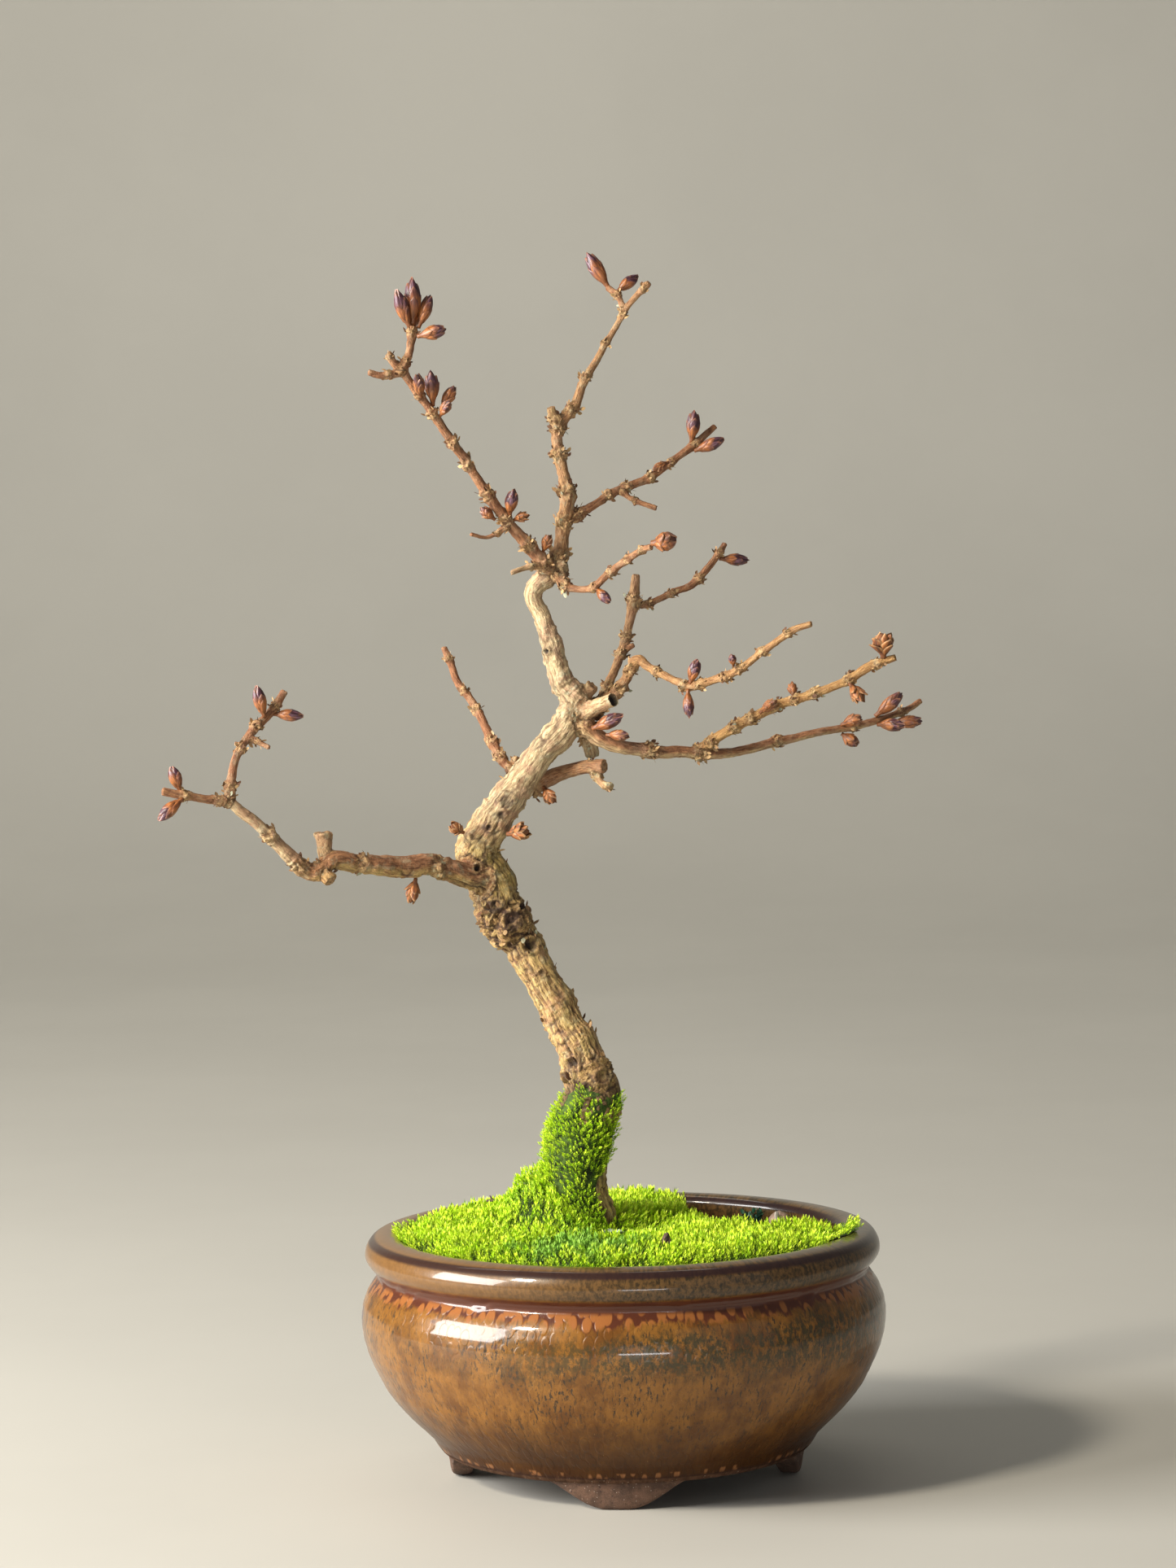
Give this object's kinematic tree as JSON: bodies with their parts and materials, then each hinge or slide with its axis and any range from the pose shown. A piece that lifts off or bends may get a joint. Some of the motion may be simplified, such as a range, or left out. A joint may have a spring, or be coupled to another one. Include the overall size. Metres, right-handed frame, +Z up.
{
  "type": "bonsai tree in a pot",
  "caption": "Bare winter bonsai with a crooked trunk, fine branches and swelling buds, in a round glazed pot with bracket feet and a moss-covered soil.",
  "frame": {"origin": "centre of the whole object's box in X and Y, on the surface that the feet stand on", "axes": "+Z up; +X to the viewer's right and +Y away from the viewer when the tree's best side is seen from the front"},
  "size_m": [0.2156, 0.1496, 0.347],
  "materials": {
    "glaze": "gloss",
    "soil": "matte",
    "moss": "matte",
    "bark": "matte",
    "bud": "satin",
    "lichen": "matte",
    "chip": "matte",
    "pebble": "matte",
    "seedling": "matte",
    "net": "matte",
    "wire": "satin"
  },
  "bodies": {
    "root": {"bark_chip": "chip", "bud_collar_left": "bud", "bud_collar_right": "bud", "bud_crown_base": "bud", "bud_crown_left_back": "bud", "bud_crown_left_inner": "bud", "bud_crown_left_outer": "bud", "bud_crown_left_side": "bud", "bud_crown_left_tip": "bud", "bud_crown_right_low": "bud", "bud_crown_right_out": "bud", "bud_crown_right_up": "bud", "bud_fork_lower": "bud", "bud_fork_upper": "bud", "bud_left_big_left": "bud", "bud_left_big_low": "bud", "bud_left_big_right": "bud", "bud_left_cluster_inner": "bud", "bud_left_cluster_low": "bud", "bud_left_cluster_outer": "bud", "bud_left_cluster_tall": "bud", "bud_left_end_down": "bud", "bud_left_end_up": "bud", "bud_left_lower_inner": "bud", "bud_left_lower_outer": "bud", "bud_left_lower_tall": "bud", "bud_main_down": "bud", "bud_main_fork": "bud", "bud_main_tip_front": "bud", "bud_main_tip_low": "bud", "bud_main_tip_up": "bud", "bud_main_up": "bud", "bud_second_back": "bud", "bud_second_low": "bud", "bud_second_tip": "bud", "bud_small_right_low": "bud", "bud_small_right_tip": "bud", "bud_stub_base": "bud", "bud_top_left": "bud", "bud_top_right": "bud", "bud_upright_side_tip": "bud", "bud_zigzag_down": "bud", "bud_zigzag_small": "bud", "bud_zigzag_up": "bud", "drain_mesh": "net", "drain_wire": "wire", "fallen_twig": "chip", "lichen_tuft": "lichen", "moss_carpet": "moss", "moss_seedling": "seedling", "pebble": "pebble", "pot": "glaze", "soil": "soil", "trunk_and_branches": "bark", "trunk_moss": "moss"}
  },
  "joints": []
}
